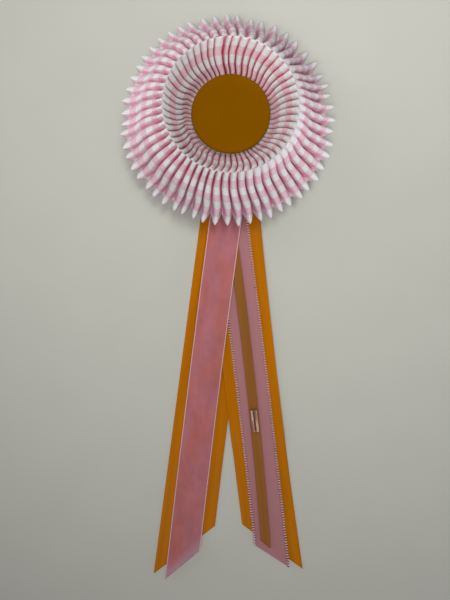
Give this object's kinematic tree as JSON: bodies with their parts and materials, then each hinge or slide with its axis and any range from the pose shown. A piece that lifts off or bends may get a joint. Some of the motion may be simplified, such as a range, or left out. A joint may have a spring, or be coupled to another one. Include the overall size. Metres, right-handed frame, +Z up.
{
  "type": "ribbon rosette",
  "caption": "Ribbon rosette: pleated gingham head round a covered button, layered satin, velvet and narrow ribbon tails, twisted beads, and a pin clasp behind.",
  "frame": {"origin": "middle of the pin clasp, on the plane that the rosette lies on, straight below the centre of the button", "axes": "+Z up, out of the rosette's face; +Y away from the tails; +X to the right as the face is seen with the tails down"},
  "size_m": [0.1408, 0.3814, 0.0346],
  "materials": {
    "gingham": "pink and white checked plain weave",
    "button_cloth": "smooth mustard brown cloth",
    "orange_satin": "satin",
    "pink_ribbon": "fine ribbed ribbon",
    "brown_satin": "satin",
    "rose_velvet": "short nap velvet",
    "bead_coat": "rose-gold coated",
    "backing_felt": "felt",
    "pin_steel": "plated"
  },
  "bodies": {
    "root": {"inner_frill": "gingham", "outer_frill": "gingham", "centre_button": "button_cloth", "tail_satin_left": "orange_satin", "tail_satin_right": "orange_satin", "tail_pink": "pink_ribbon", "tail_brown": "brown_satin", "tail_velvet": "rose_velvet", "bead_left": "bead_coat", "bead_right": "bead_coat", "backing_disc": "backing_felt", "pin_clasp": "pin_steel"}
  },
  "joints": []
}
